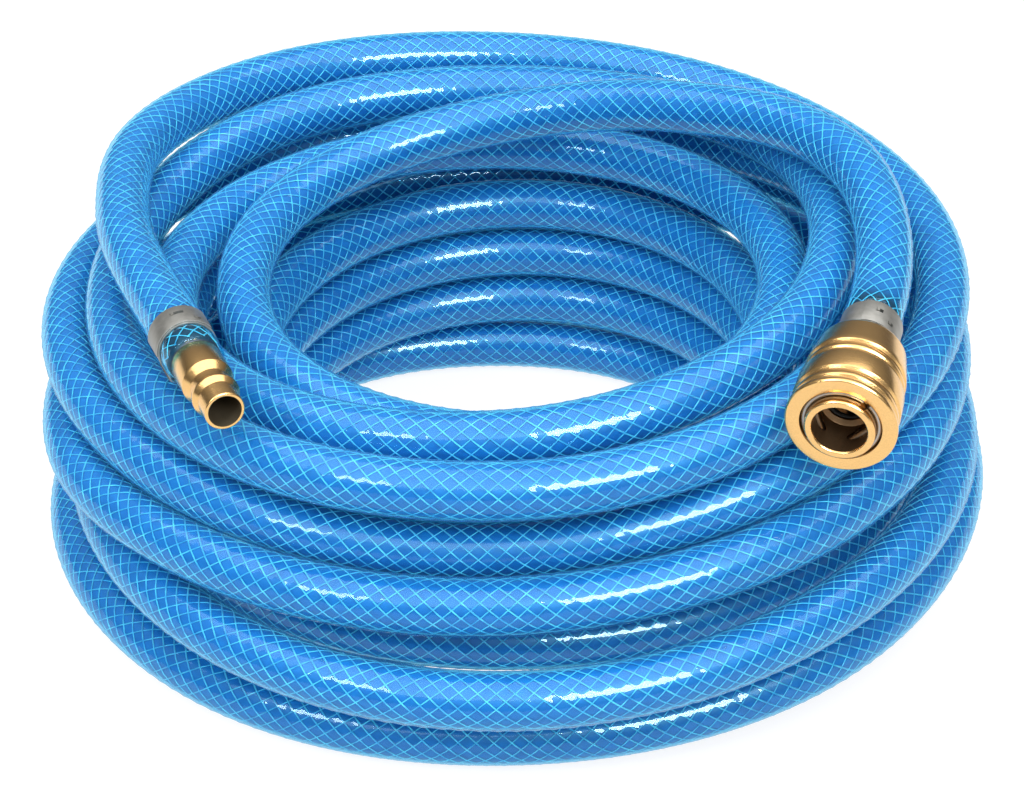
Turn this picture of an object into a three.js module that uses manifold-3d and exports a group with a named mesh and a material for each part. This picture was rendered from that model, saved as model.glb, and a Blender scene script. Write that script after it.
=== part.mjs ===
// Coiled braided air hose, 15 mm outside and 9 mm inside, with a brass quick coupler on one end and a
// brass plug on the other. Each end is held on its barb by a one-ear steel clamp.
// Millimetres, +Z up. The coil lies on the plane z = 0, and the origin is under its middle.

import * as THREE from 'three';
import { mergeVertices } from 'three/addons/utils/BufferGeometryUtils.js';
import Module from 'manifold-3d';

const wasm = await Module();
wasm.setup();

// ---- driving dimensions ----
const GAP = 0.3; // kept between pieces that touch
const ROUND = 24; // flats round a turned piece
const QUARTER = Math.PI / 2;

const HOSE_OD = 15;
const TUBE_RADIUS = HOSE_OD / 2 - 0.4; // drawn a little thin, because turns that lie together touch
const TUBE_SIDES = 12;
const STEPS_PER_QUARTER = 5;

// The main body of the coil, as [radius, height]: flat below, widest at a third of its height.
const COIL_OUTLINE = [
  [76, 0],
  [126, 0],
  [132, 6],
  [138, 30],
  [138, 42],
  [130, 50],
  [128, 60],
  [122, 66],
  [76, 66],
  [67, 60],
  [70, 14],
];
const COIL_FLATS = 40;

// The loose turns on top of the coil, as [quarter turns from +X, radius, height], counter-clockwise.
// They run from the coupler down to the coil.
const UPPER_TURNS = [
  [0, 92, 112],
  [0.5, 65, 107],
  [1, 61, 96],
  [1.5, 66.5, 87],
  [2, 72, 83],
  [2.5, 78, 79],
  [3, 79, 77],
  [4, 74, 81],
  [5, 76, 79],
  [6, 92, 78],
  [7, 94, 88],
  [7.5, 89.6, 93.7],
  [8, 87, 97],
  [9, 94, 88],
  [9.5, 103.5, 85.5],
  [10, 108, 79],
  [11, 109, 83],
  [12, 99, 88],
  [13, 96, 71],
];
const UPPER_TURNS_END = 12.8; // where they sink into the coil

// The last turn, from the coil up to the plug.
const PLUG_RUN = [
  [51, 104, 62],
  [51.5, 112, 74],
  [52, 117, 81],
  [52.5, 116.5, 84.5],
  [53, 112, 90],
  [53.5, 116.8, 93.4],
  [53.75, 113.2, 96.3],
  [54, 105, 98],
];
const PLUG_RUN_START = 51.5; // where it leaves the coil
const PLUG_TURN = 52; // quarter turns already made when the plug's own angle is measured from +X

// The two fittings lie on the coil and point forwards: heading from -Y towards +X, and pitch upwards.
const COUPLER_FACE = new THREE.Vector3(78.5, -104.5, 98.8); // middle of the sleeve's front face
const COUPLER_AXIS = heading(-16, -6);
const PLUG_TIP = new THREE.Vector3(-68.7, -101.6, 101);
const PLUG_AXIS = heading(21.5, 2);

// Along a fitting, a place is its depth: the distance back from the sleeve's face or the plug's tip.
const BARB_BORE = 3.2;
const BARB_RADIUS = 4.8;
const BARB_ROOT = 4.4;
const CUFF_BORE = BARB_RADIUS + GAP;
const CLAMP_BORE = TUBE_RADIUS + GAP;
const CLAMP_THICKNESS = 0.7;
const CLAMP_WIDTH = 8.6;
const COUPLER_HOSE_START = 31;
const COUPLER_CLAMP_START = 32.2;
const COUPLER_BARB_END = 47.7;
const PLUG_HOSE_START = 24.7;
const PLUG_CLAMP_START = 32.1;
const PLUG_BARB_END = 46.7;

const NOSE_DEPTH = -2; // the nose stands in front of the sleeve's face
const NOSE_RADIUS = 8.45;
const SOCKET_RADIUS = 6.7;
const SEAL_LAND_RADIUS = 5.3;
const VALVE_CHAMBER_RADIUS = 6.6;
const SLEEVE_CHAMBER_RADIUS = 9.7;
const SLEEVE_BORE = NOSE_RADIUS + GAP;

const SLEEVE_TRAVEL = 3;
const PIN_COUNT = 3;
const PIN_RADIUS = 1.1;
const PIN_LENGTH = 9.2;
const PIN_DEPTH = 4.2; // of its centre when locked
const PIN_DISTANCE = 6.4; // of its centre from the axis when locked
const PIN_SLANT = THREE.MathUtils.degToRad(22); // of its slot, outwards as it goes back
const FIRST_PIN_ANGLE = THREE.MathUtils.degToRad(-60);

const BRASS = { color: 0xc9974f, roughness: 0.28, metalness: 1 };
const DULL_BRASS = { color: 0x8a6233, roughness: 0.4, metalness: 1 };
const STEEL = { color: 0x8e8e8c, roughness: 0.45, metalness: 0.9 };
const SPRING_STEEL = { color: 0xa9abad, roughness: 0.35, metalness: 1 };
const RUBBER = { color: 0x15161a, roughness: 0.6, metalness: 0 };
const HOSE_BLUE = { color: 0x1f7ad6, roughness: 0.3, metalness: 0 };

function heading(fromFront, pitch) {
  const turn = THREE.MathUtils.degToRad(fromFront);
  const lift = THREE.MathUtils.degToRad(pitch);
  const level = Math.cos(lift);
  return new THREE.Vector3(Math.sin(turn) * level, -Math.cos(turn) * level, Math.sin(lift));
}

function piece(name, geometry, finish) {
  const mesh = new THREE.Mesh(geometry, new THREE.MeshStandardMaterial(finish));
  mesh.name = name;
  return mesh;
}

// ---- turned pieces ----

// A profile of [radius, depth] points becomes a solid round local Z, with depth running along -Z.
function turned(profile, flats = ROUND) {
  const points = profile.map(([radius, depth]) => new THREE.Vector2(radius, -depth));
  if (THREE.ShapeUtils.area(points) < 0) points.reverse();
  points.push(points[0].clone());
  return new THREE.LatheGeometry(points, flats).rotateX(QUARTER);
}

// A ring of round section, as a profile.
function ringProfile(middleRadius, middleDepth, sectionRadius, corners) {
  const profile = [];
  for (let i = 0; i < corners; i++) {
    const angle = (2 * Math.PI * (i + 0.5)) / corners;
    profile.push([middleRadius + sectionRadius * Math.cos(angle), middleDepth + sectionRadius * Math.sin(angle)]);
  }
  return profile;
}

// The outside of a barb: teeth that rise slowly away from the hose's end, then drop.
function barbOutside(start, end, teeth) {
  const pitch = (end - start) / teeth;
  const profile = [];
  for (let i = 0; i < teeth; i++) {
    profile.push([BARB_RADIUS, start + i * pitch + 0.3]);
    profile.push([BARB_ROOT, start + (i + 1) * pitch]);
  }
  return profile;
}

// ---- booleans ----

function toSolid(geometry) {
  const bare = geometry.clone();
  bare.deleteAttribute('normal');
  bare.deleteAttribute('uv');
  const merged = mergeVertices(bare, 1e-4);
  const corners = merged.index.array;
  const triVerts = [];
  for (let i = 0; i < corners.length; i += 3) {
    const [a, b, c] = corners.slice(i, i + 3);
    if (a !== b && b !== c && c !== a) triVerts.push(a, b, c);
  }
  const vertProperties = merged.attributes.position.array;
  return new wasm.Manifold(new wasm.Mesh({ numProp: 3, vertProperties, triVerts: new Uint32Array(triVerts) }));
}

function cut(geometry, cutters) {
  const solid = cutters.reduce((rest, cutter) => rest.subtract(toSolid(cutter)), toSolid(geometry));
  const mesh = solid.getMesh();
  const result = new THREE.BufferGeometry();
  result.setAttribute('position', new THREE.BufferAttribute(mesh.vertProperties, 3));
  result.setIndex(new THREE.BufferAttribute(mesh.triVerts, 1));
  result.computeVertexNormals();
  return result;
}

// ---- hose ----

// A route through stations of [quarter turns, radius, height]. Its slopes at the two ends can be given.
class HoseRoute extends THREE.Curve {
  constructor(stations, from, to, slopes) {
    super();
    this.stations = stations;
    this.from = from;
    this.to = to;
    this.slopes = stations.map((station, i) => {
      const before = i > 0 ? this.secant(i - 1) : null;
      const after = i < stations.length - 1 ? this.secant(i) : null;
      if (!before) return slopes.start ?? after.slope;
      if (!after) return slopes.end ?? before.slope;
      const share = before.span / (before.span + after.span);
      return before.slope.map((value, k) => value * (1 - share) + after.slope[k] * share);
    });
  }

  secant(i) {
    const [q0, radius0, height0] = this.stations[i];
    const [q1, radius1, height1] = this.stations[i + 1];
    const span = q1 - q0;
    return { span, slope: [(radius1 - radius0) / span, (height1 - height0) / span] };
  }

  // Equal turns of angle, so that the flats of neighbouring turns lie side by side.
  getUtoTmapping(u) {
    return u;
  }

  getPoint(t, target = new THREE.Vector3()) {
    const q = THREE.MathUtils.lerp(this.from, this.to, t);
    let i = 0;
    while (i < this.stations.length - 2 && q > this.stations[i + 1][0]) i++;
    const start = this.stations[i];
    const end = this.stations[i + 1];
    const span = end[0] - start[0];
    const s = (q - start[0]) / span;
    const [radius, height] = [1, 2].map((k) => {
      const startPull = this.slopes[i][k - 1] * span;
      const endPull = this.slopes[i + 1][k - 1] * span;
      const blendEnd = s * s * (3 - 2 * s);
      return start[k] * (1 - blendEnd) + end[k] * blendEnd
        + startPull * s * (1 - s) * (1 - s) - endPull * s * s * (1 - s);
    });
    return target.set(radius * Math.cos(q * QUARTER), radius * Math.sin(q * QUARTER), height);
  }
}

// The station where a fitting's axis leaves its barb, and the route's slope along that axis.
function fittingStation(mouth, axis, depth, turnsBefore) {
  const point = mouth.clone().addScaledVector(axis, -depth);
  const angle = Math.atan2(point.y, point.x);
  const fullTurns = turnsBefore > 0 && angle < 0 ? 4 : 0;
  return [turnsBefore + fullTurns + angle / QUARTER, Math.hypot(point.x, point.y), point.z];
}

function slopeAlong(direction, [q, radius]) {
  const cos = Math.cos(q * QUARTER);
  const sin = Math.sin(q * QUARTER);
  const outward = direction.x * cos + direction.y * sin;
  const around = direction.y * cos - direction.x * sin;
  const perQuarter = (radius * QUARTER) / around;
  return [outward * perQuarter, direction.z * perQuarter];
}

function hoseTube(route) {
  const section = new THREE.Shape();
  for (let i = 0; i < TUBE_SIDES; i++) {
    const angle = (2 * Math.PI * i) / TUBE_SIDES;
    const x = TUBE_RADIUS * Math.cos(angle);
    const y = TUBE_RADIUS * Math.sin(angle);
    if (i === 0) section.moveTo(x, y);
    else section.lineTo(x, y);
  }
  const steps = Math.round((route.to - route.from) * STEPS_PER_QUARTER);
  return new THREE.ExtrudeGeometry(section, { steps, extrudePath: route });
}

function hoseCoil() {
  const profile = COIL_OUTLINE.map(([radius, height]) => [radius, -height]);
  return piece('hose_coil', turned(profile, COIL_FLATS), HOSE_BLUE);
}

function hoseUpperTurns() {
  const station = fittingStation(COUPLER_FACE, COUPLER_AXIS, COUPLER_BARB_END + GAP, 0);
  const start = slopeAlong(COUPLER_AXIS.clone().negate(), station);
  const route = new HoseRoute([station, ...UPPER_TURNS], station[0], UPPER_TURNS_END, { start });
  return piece('hose_upper_turns', hoseTube(route), HOSE_BLUE);
}

function hosePlugRun() {
  const station = fittingStation(PLUG_TIP, PLUG_AXIS, PLUG_BARB_END + GAP, PLUG_TURN);
  const end = slopeAlong(PLUG_AXIS, station);
  const route = new HoseRoute([...PLUG_RUN, station], PLUG_RUN_START, station[0], { end });
  return piece('hose_run_to_plug', hoseTube(route), HOSE_BLUE);
}

// The end of the hose, stretched over a barb.
function hoseCuff(name, start, end) {
  const profile = [
    [CUFF_BORE, start],
    [TUBE_RADIUS, start],
    [TUBE_RADIUS, end],
    [CUFF_BORE, end],
  ];
  return piece(name, turned(profile), HOSE_BLUE);
}

// ---- clamps ----

// A band with one pinched ear, which points down.
function hoseClamp(name, start) {
  const inner = CLAMP_BORE;
  const outer = inner + CLAMP_THICKNESS;
  const earHalfWidth = 3.2;
  const earTopHalfWidth = 2.2;
  const earHeight = 3;
  const arcPoints = 30;

  const loop = (path, radius, halfWidth, topHalfWidth, top) => {
    const shoulder = Math.asin(halfWidth / radius);
    for (let i = 0; i <= arcPoints; i++) {
      const angle = -QUARTER + shoulder + ((4 * QUARTER - 2 * shoulder) * i) / arcPoints;
      const x = radius * Math.cos(angle);
      const y = radius * Math.sin(angle);
      if (i === 0) path.moveTo(x, y);
      else path.lineTo(x, y);
    }
    path.lineTo(-topHalfWidth, -top);
    path.lineTo(topHalfWidth, -top);
    path.closePath();
    return path;
  };
  const band = loop(new THREE.Shape(), outer, earHalfWidth, earTopHalfWidth, outer + earHeight);
  const hole = loop(
    new THREE.Path(),
    inner,
    earHalfWidth - CLAMP_THICKNESS,
    earTopHalfWidth - CLAMP_THICKNESS,
    inner + earHeight,
  );
  band.holes.push(hole);
  const geometry = new THREE.ExtrudeGeometry(band, { depth: CLAMP_WIDTH, bevelEnabled: false });
  geometry.translate(0, 0, -start - CLAMP_WIDTH);
  return piece(name, geometry, STEEL);
}

// ---- springs and rings ----

class Helix extends THREE.Curve {
  constructor(radius, start, end, turns) {
    super();
    Object.assign(this, { radius, start, end, turns });
  }

  getPoint(t, target = new THREE.Vector3()) {
    const angle = 2 * Math.PI * this.turns * t;
    const depth = THREE.MathUtils.lerp(this.start, this.end, t);
    return target.set(this.radius * Math.cos(angle), this.radius * Math.sin(angle), -depth);
  }
}

function wire(route, wireRadius, steps) {
  const sides = 6;
  const section = new THREE.Shape();
  for (let i = 0; i < sides; i++) {
    const angle = (2 * Math.PI * i) / sides;
    const x = wireRadius * Math.cos(angle);
    const y = wireRadius * Math.sin(angle);
    if (i === 0) section.moveTo(x, y);
    else section.lineTo(x, y);
  }
  return new THREE.ExtrudeGeometry(section, { steps, extrudePath: route });
}

function coilSpring(name, radius, wireRadius, start, end, turns) {
  const route = new Helix(radius, start + wireRadius, end - wireRadius, turns);
  return piece(name, wire(route, wireRadius, turns * 12), SPRING_STEEL);
}

// A snap ring of round wire, open at its upper right.
function retainingRing() {
  const openAngle = THREE.MathUtils.degToRad(14);
  const openAt = THREE.MathUtils.degToRad(35);
  const turns = 1 - openAngle / (2 * Math.PI);
  const geometry = wire(new Helix(8.75, 1.2, 1.2, turns), 0.6, 24);
  return piece('sleeve_retaining_ring', geometry.rotateZ(openAt + openAngle / 2), SPRING_STEEL);
}

// ---- coupler ----

// A shape in the plane of radius and depth, swept across the axis at the given angle.
function crossPiece(outline, length, angle) {
  const shape = new THREE.Shape(outline.map(([radius, depth]) => new THREE.Vector2(radius, -depth)));
  const geometry = new THREE.ExtrudeGeometry(shape, { depth: length, bevelEnabled: false });
  geometry.translate(0, 0, -length / 2).rotateX(QUARTER);
  return geometry.rotateZ(angle);
}

// Two half circles joined by straight sides; equal ends make a circle.
function stadium(startRadius, startDepth, endRadius, endDepth, round) {
  const along = Math.atan2(endDepth - startDepth, endRadius - startRadius);
  const halfPoints = 8;
  const outline = [];
  for (let i = 0; i <= halfPoints; i++) {
    const angle = along + QUARTER + (2 * QUARTER * i) / halfPoints;
    outline.push([startRadius + round * Math.cos(angle), startDepth + round * Math.sin(angle)]);
  }
  for (let i = 0; i <= halfPoints; i++) {
    const angle = along - QUARTER + (2 * QUARTER * i) / halfPoints;
    outline.push([endRadius + round * Math.cos(angle), endDepth + round * Math.sin(angle)]);
  }
  return outline;
}

function pinAngle(i) {
  return FIRST_PIN_ANGLE + (4 * QUARTER * i) / PIN_COUNT;
}

// The valve body: socket, seal groove and valve chamber inside, and the sleeve's track outside.
function couplerBody() {
  const profile = [
    [SOCKET_RADIUS + GAP, NOSE_DEPTH],
    [NOSE_RADIUS - 0.4, NOSE_DEPTH],
    [NOSE_RADIUS, NOSE_DEPTH + 0.4],
    [NOSE_RADIUS, 0.3],
    [7.85, 0.3],
    [7.85, 2.1],
    [NOSE_RADIUS, 2.1],
    [NOSE_RADIUS, 6.4],
    [8, 6.8],
    [8, 21],
    [9.4, 21],
    [9.4, 25],
    [8.4, 25.4],
    [8.4, 29],
    [VALVE_CHAMBER_RADIUS, 29],
    [VALVE_CHAMBER_RADIUS, 13],
    [SEAL_LAND_RADIUS, 13],
    [SEAL_LAND_RADIUS, 11.9],
    [7, 11.9],
    [7, 9.6],
    [SEAL_LAND_RADIUS, 9.6],
    [SEAL_LAND_RADIUS, 9],
    [SOCKET_RADIUS, 8.4],
    [SOCKET_RADIUS, NOSE_DEPTH + 0.5],
  ];
  const slotEndDistance = PIN_DISTANCE + SLEEVE_TRAVEL * Math.tan(PIN_SLANT);
  const slotEndDepth = PIN_DEPTH + SLEEVE_TRAVEL;
  const slot = stadium(PIN_DISTANCE, PIN_DEPTH, slotEndDistance, slotEndDepth, PIN_RADIUS + GAP);
  const slots = [];
  for (let i = 0; i < PIN_COUNT; i++) slots.push(crossPiece(slot, PIN_LENGTH + 2 * GAP, pinAngle(i)));
  return piece('coupler_body', cut(turned(profile), slots), BRASS);
}

function lockingPin(i) {
  const outline = stadium(0, 0, 0, 0, PIN_RADIUS).filter((point, k) => k !== 8 && k !== 17);
  const pin = piece(`locking_pin_${i + 1}`, crossPiece(outline, PIN_LENGTH, pinAngle(i)), SPRING_STEEL);
  pin.position.set(PIN_DISTANCE * Math.cos(pinAngle(i)), PIN_DISTANCE * Math.sin(pinAngle(i)), -PIN_DEPTH);
  return pin;
}

// The sleeve that is pulled back to release the plug: grooved for grip outside, with a pocket that
// carries the locking pins and a chamber for its spring inside.
function lockingSleeve() {
  const profile = [
    [9.6, 0],
    [13.4, 0],
    [13.8, 0.4],
    [13.8, 1.3],
    [12.7, 1.7],
    [12.7, 2.9],
    [13.4, 3.3],
    [13.4, 4.5],
    [12.6, 4.9],
    [12.6, 6.2],
    [13.4, 6.7],
    [13.2, 13.2],
    [12.3, 13.6],
    [12.3, 14.9],
    [12.8, 15.3],
    [12.8, 16.3],
    [12, 16.7],
    [12, 18],
    [12.7, 18.4],
    [12.5, 20],
    [11.2, 27.6],
    [10.7, 28.6],
    [SLEEVE_CHAMBER_RADIUS, 28.6],
    [SLEEVE_CHAMBER_RADIUS, 7],
    [SLEEVE_BORE, 7],
    [SLEEVE_BORE, 5.8],
    [10.3, 5.8],
    [10.3, 2.7],
    [SLEEVE_BORE, 2.7],
    [SLEEVE_BORE, 2.1],
    [9.6, 2.1],
  ];
  return piece('locking_sleeve', turned(profile), BRASS);
}

// Screwed into the back of the body, with the hose's barb behind its collar.
function couplerHoseTail() {
  const profile = [
    [BARB_BORE, 25],
    [VALVE_CHAMBER_RADIUS - GAP, 25],
    [VALVE_CHAMBER_RADIUS - GAP, 29.3],
    [8.2, 29.3],
    [8.2, 30.7],
    [BARB_ROOT, 30.7],
    ...barbOutside(30.9, COUPLER_BARB_END, 4),
    [BARB_BORE, COUPLER_BARB_END],
  ];
  return piece('coupler_hose_tail', turned(profile), BRASS);
}

// The poppet is pushed back by the plug, and lets the air past through its cross slots.
function valvePoppet() {
  const profile = [
    [0, 9.8],
    [4, 9.8],
    [4.5, 10.3],
    [4.5, 14.7],
    [6.1, 14.7],
    [6.1, 15.7],
    [1.2, 15.7],
    [1.2, 21],
    [0, 21],
  ];
  const points = profile.map(([radius, depth]) => new THREE.Vector2(radius, -depth)).reverse();
  const blank = new THREE.LatheGeometry(points, ROUND).rotateX(QUARTER);
  const slotWidth = 2.2;
  const slotLength = 12;
  const slotDepth = 3;
  const slots = [0, QUARTER].map((angle) => {
    const slot = new THREE.BoxGeometry(slotLength, slotWidth, slotDepth);
    return slot.translate(0, 0, -9.8).rotateZ(angle);
  });
  return piece('valve_poppet', cut(blank, slots), DULL_BRASS);
}

function valveSeal() {
  const profile = [
    [4.8, 13.6],
    [5.3, 13.3],
    [5.9, 13.3],
    [6.2, 13.7],
    [6.2, 14.2],
    [6, 14.4],
    [4.8, 14.4],
  ];
  return piece('valve_seal', turned(profile), RUBBER);
}

function coupler() {
  const group = new THREE.Group();
  group.position.copy(COUPLER_FACE);
  group.quaternion.setFromUnitVectors(new THREE.Vector3(0, 0, 1), COUPLER_AXIS);
  group.add(couplerBody(), lockingSleeve(), retainingRing(), couplerHoseTail());
  group.add(coilSpring('sleeve_spring', 8.85, 0.4, 7.3, 20.7, 5));
  for (let i = 0; i < PIN_COUNT; i++) group.add(lockingPin(i));
  group.add(piece('socket_seal', turned(ringProfile(5.8, 10.75, 0.85, 8)), RUBBER));
  group.add(valvePoppet(), valveSeal());
  group.add(coilSpring('valve_spring', 3.6, 0.35, 16, 24.7, 4));
  group.add(hoseCuff('hose_cuff_coupler', COUPLER_HOSE_START, COUPLER_BARB_END));
  group.add(hoseClamp('coupler_hose_clamp', COUPLER_CLAMP_START));
  return group;
}

// ---- plug ----

// One turned piece: the tip that goes into a socket, its locking groove, a collar and the barb.
function plugNipple() {
  const profile = [
    [4.15, 0],
    [4.8, 0],
    [5, 0.25],
    [5, 6],
    [6, 7.5],
    [6, 8.2],
    [5.1, 8.9],
    [5.1, 12.4],
    [6.5, 14.6],
    [6.5, 24.4],
    [BARB_ROOT, 24.4],
    ...barbOutside(24.6, PLUG_BARB_END, 5),
    [BARB_BORE, PLUG_BARB_END],
    [BARB_BORE, 14],
    [4.15, 13],
  ];
  return piece('plug_nipple', turned(profile), BRASS);
}

function plug() {
  const group = new THREE.Group();
  group.position.copy(PLUG_TIP);
  group.quaternion.setFromUnitVectors(new THREE.Vector3(0, 0, 1), PLUG_AXIS);
  group.add(plugNipple(), hoseCuff('hose_cuff_plug', PLUG_HOSE_START, PLUG_BARB_END));
  group.add(hoseClamp('plug_hose_clamp', PLUG_CLAMP_START));
  return group;
}

const group = new THREE.Group();
group.add(hoseCoil(), hoseUpperTurns(), hosePlugRun(), coupler(), plug());

export default group;
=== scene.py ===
"""Coiled braided air hose with a brass quick coupler and a brass plug: how it looks, round the CAD frame."""
import math

import bmesh
import bpy
import numpy as np
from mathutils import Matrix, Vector


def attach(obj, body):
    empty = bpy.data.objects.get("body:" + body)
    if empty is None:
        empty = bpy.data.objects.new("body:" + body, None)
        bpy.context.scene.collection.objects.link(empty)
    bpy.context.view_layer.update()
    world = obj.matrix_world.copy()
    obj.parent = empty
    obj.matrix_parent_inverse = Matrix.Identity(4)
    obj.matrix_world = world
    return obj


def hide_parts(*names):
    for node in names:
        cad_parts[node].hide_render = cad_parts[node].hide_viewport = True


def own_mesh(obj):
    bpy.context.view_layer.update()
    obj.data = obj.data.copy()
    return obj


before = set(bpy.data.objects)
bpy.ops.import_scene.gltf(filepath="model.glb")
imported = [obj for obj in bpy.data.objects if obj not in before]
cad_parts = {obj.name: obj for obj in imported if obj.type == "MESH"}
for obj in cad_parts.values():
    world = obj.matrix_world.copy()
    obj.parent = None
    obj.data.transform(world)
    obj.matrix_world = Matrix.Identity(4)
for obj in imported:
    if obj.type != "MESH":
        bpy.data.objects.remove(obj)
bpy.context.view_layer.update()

MM = 0.001
QUARTER = math.pi / 2
ROOT = "hose_and_fittings"

# ---- camera ----
CAMERA_ELEVATION = math.radians(33)
CAMERA_DISTANCE = 0.8
CAMERA_TARGET = Vector((0, 0, 0.039))
CAMERA_LENS = 100


def make_camera():
    data = bpy.data.cameras.new("camera")
    data.lens = CAMERA_LENS
    data.sensor_width = 36
    camera = bpy.data.objects.new("camera", data)
    bpy.context.scene.collection.objects.link(camera)
    away = Vector((0, -math.cos(CAMERA_ELEVATION), math.sin(CAMERA_ELEVATION)))
    camera.location = CAMERA_TARGET + CAMERA_DISTANCE * away
    camera.rotation_euler = (QUARTER - CAMERA_ELEVATION, 0, 0)
    bpy.context.scene.camera = camera


make_camera()
bpy.context.scene.view_settings.view_transform = "Standard"

# ---- the route of the hose ----
# Stations of (quarter turns from +X, radius, height), counter-clockwise from the coupler to the plug.
# The CAD has UPPER_TURNS and PLUG_RUN as free tubes; the turns between them lie inside its hose_coil.
UPPER_TURNS = [
    (0, 0.092, 0.112), (0.5, 0.065, 0.107), (1, 0.061, 0.096), (1.5, 0.0665, 0.087), (2, 0.072, 0.083),
    (2.5, 0.078, 0.079), (3, 0.079, 0.077), (4, 0.074, 0.081), (5, 0.076, 0.079), (6, 0.092, 0.078),
    (7, 0.094, 0.088), (7.5, 0.0896, 0.0937), (8, 0.087, 0.097), (9, 0.094, 0.088), (9.5, 0.1035, 0.0855),
    (10, 0.108, 0.079), (11, 0.109, 0.083), (12, 0.099, 0.088), (13, 0.096, 0.071),
]
INTO_THE_COIL = [(14, 0.092, 0.062), (15, 0.085, 0.063), (16, 0.072, 0.06)]
# The inner column: even turns that go down the inside, a little longer from front to back than across.
INNER_START, INNER_QUARTERS = 17, 11
INNER_TOP, INNER_DROP = 0.057, 0.0041
INNER_RADII = 0.0795, 0.073
INNER_TURNS = [
    (INNER_START + k, INNER_RADII[k % 2], INNER_TOP - INNER_DROP * k) for k in range(INNER_QUARTERS)
]
# The lowest turns spiral outwards on the floor, and the outer turns climb back up round the column.
OUTER_TURNS = [
    (28, 0.0775, 0.011), (28.7, 0.079, 0.008), (29.05, 0.0803, 0.0075), (29.4, 0.0845, 0.0075),
    (30, 0.09, 0.0075), (31, 0.0975, 0.0075), (32, 0.106, 0.0075), (33, 0.115, 0.008),
    (34, 0.124, 0.01), (34.5, 0.1195, 0.01), (35, 0.113, 0.01), (35.5, 0.1213, 0.017), (36, 0.1256, 0.0225),
    (37, 0.114, 0.024), (38, 0.103, 0.023), (39, 0.102, 0.032), (40, 0.108, 0.031), (41, 0.099, 0.041),
    (42, 0.114, 0.036), (43, 0.131, 0.036), (43.5, 0.127, 0.04), (44, 0.121, 0.041), (44.5, 0.116, 0.0472),
    (45, 0.1125, 0.0496), (46, 0.12, 0.05), (46.25, 0.1242, 0.0502), (46.5, 0.122, 0.052), (47, 0.118, 0.055),
    (47.5, 0.1195, 0.061), (48, 0.118, 0.064), (49, 0.112, 0.067), (50, 0.122, 0.066), (50.5, 0.1132, 0.0636),
]
PLUG_RUN = [
    (51, 0.104, 0.062), (51.5, 0.112, 0.074), (52, 0.117, 0.081), (52.5, 0.1165, 0.0845), (53, 0.112, 0.09),
    (53.5, 0.1168, 0.0934), (53.75, 0.1132, 0.0963), (54, 0.105, 0.098),
]
STATIONS = [*UPPER_TURNS, *INTO_THE_COIL, *INNER_TURNS, *OUTER_TURNS, *PLUG_RUN]
PLUG_TURN = 52
HOSE_OD = 0.015
HOSE_RADIUS = HOSE_OD / 2
ROUTE_STEPS = 6000
ROUTE_STEPS_IN_FITTING = 20


def heading(from_front, pitch):
    turn, lift = math.radians(from_front), math.radians(pitch)
    level = math.cos(lift)
    return np.array([math.sin(turn) * level, -math.cos(turn) * level, math.sin(lift)])


COUPLER_FACE = np.array([0.0785, -0.1045, 0.0988])
COUPLER_AXIS = heading(-16, -6)
PLUG_TIP = np.array([-0.0687, -0.1016, 0.101])
PLUG_AXIS = heading(21.5, 2)
# Depths back from the sleeve's face or the plug's tip.
COUPLER_HOSE_START, COUPLER_BARB_END, COUPLER_CLAMP_START = 0.031, 0.048, 0.0322
PLUG_HOSE_START, PLUG_BARB_END, PLUG_CLAMP_START = 0.0247, 0.047, 0.0321
CLAMP_WIDTH = 0.0086


def fitting_station(mouth, axis, depth, turns_before):
    """The station of the place this deep in a fitting."""
    point = mouth - axis * depth
    angle = math.atan2(point[1], point[0])
    if turns_before and angle < 0:
        angle += 2 * math.pi
    return turns_before + angle / QUARTER, math.hypot(point[0], point[1]), point[2]


def slope_along(direction, station):
    """How fast radius and height change per quarter turn, for a hose that heads this way at the station."""
    q, radius, _ = station
    cos, sin = math.cos(q * QUARTER), math.sin(q * QUARTER)
    outward = direction[0] * cos + direction[1] * sin
    around = direction[1] * cos - direction[0] * sin
    per_quarter = radius * QUARTER / around
    return outward * per_quarter, direction[2] * per_quarter


def smooth_through(q, knots, values, first_slope, last_slope):
    """Cubic stretches through the knots, whose slopes average those of the stretches on either side."""
    span = np.diff(knots)[:, None]
    secant = np.diff(values, axis=0) / span
    inner = (secant[:-1] * span[1:] + secant[1:] * span[:-1]) / (span[1:] + span[:-1])
    slopes = np.vstack([first_slope, inner, last_slope])
    i = np.clip(np.searchsorted(knots, q, side="right") - 1, 0, len(knots) - 2)
    s = ((q - knots[i]) / span[i, 0])[:, None]
    blend = s * s * (3 - 2 * s)
    pull = s * (1 - s) * ((1 - s) * slopes[i] - s * slopes[i + 1]) * span[i]
    return values[i] * (1 - blend) + values[i + 1] * blend + pull


def hose_route():
    """Close points along the middle of the hose, from its end at the coupler to its end at the plug."""
    first = fitting_station(COUPLER_FACE, COUPLER_AXIS, COUPLER_BARB_END, 0)
    last = fitting_station(PLUG_TIP, PLUG_AXIS, PLUG_BARB_END, PLUG_TURN)
    stations = np.array([first, *STATIONS, last])
    q = np.linspace(first[0], last[0], ROUTE_STEPS)
    ends = slope_along(-COUPLER_AXIS, first), slope_along(PLUG_AXIS, last)
    radius, height = smooth_through(q, stations[:, 0], stations[:, 1:], *ends).T
    turns = np.stack([radius * np.cos(q * QUARTER), radius * np.sin(q * QUARTER), height], -1)
    start = COUPLER_FACE - COUPLER_AXIS * COUPLER_HOSE_START
    end = PLUG_TIP - PLUG_AXIS * PLUG_HOSE_START
    return np.vstack([
        np.linspace(start, turns[0], ROUTE_STEPS_IN_FITTING)[:-1],
        turns,
        np.linspace(turns[-1], end, ROUTE_STEPS_IN_FITTING)[1:],
    ])


def distances_along(points):
    return np.r_[0, np.cumsum(np.linalg.norm(np.diff(points, axis=0), axis=1))]


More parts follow.
